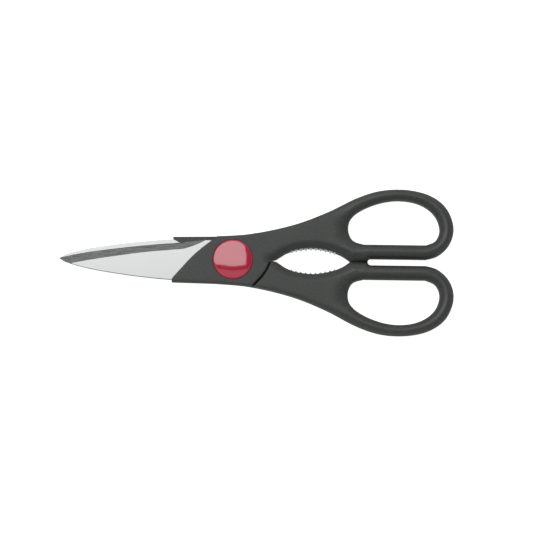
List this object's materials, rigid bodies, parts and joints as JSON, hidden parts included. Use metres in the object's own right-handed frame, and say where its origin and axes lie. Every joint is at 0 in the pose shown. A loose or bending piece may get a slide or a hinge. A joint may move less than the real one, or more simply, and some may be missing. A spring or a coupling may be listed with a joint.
{
  "type": "kitchen and poultry shears",
  "caption": "Household shears with two bevelled steel blades, moulded finger-loop handles with a serrated jaw opening, and red pivot caps.",
  "frame": {"origin": "on the pivot axis, at the height of the rear cap's flat crown, on which the shears rest", "axes": "+X from the pivot towards the finger loops, +Z along the pivot axis towards the front side, +Y towards the front half's loop"},
  "size_m": [0.2008, 0.0752, 0.0124],
  "materials": {
    "blade_steel": "fine satin grind, with a darker ground bevel along the edge",
    "handle_plastic": "black moulded plastic with a fine matte grain",
    "cap_plastic": "polished red",
    "pivot_metal": "zinc-plated turned steel",
    "spring_steel": "plain rolled strip"
  },
  "bodies": {
    "front_half": {"front_blade": "blade_steel", "front_handle": "handle_plastic", "front_cap": "cap_plastic", "pivot_sleeve": "pivot_metal", "pivot_screw": "pivot_metal", "cup_spring": "spring_steel", "thrust_washer": "spring_steel"},
    "rear_half": {"rear_blade": "blade_steel", "rear_handle": "handle_plastic", "rear_cap": "cap_plastic"}
  },
  "joints": [
    {"name": "blade_pivot", "type": "hinge", "parent": "front_half", "child": "rear_half", "pos_m": [0, 0, 0.0062], "axis": [0, 0, -1], "range_deg": [0, 70]}
  ]
}
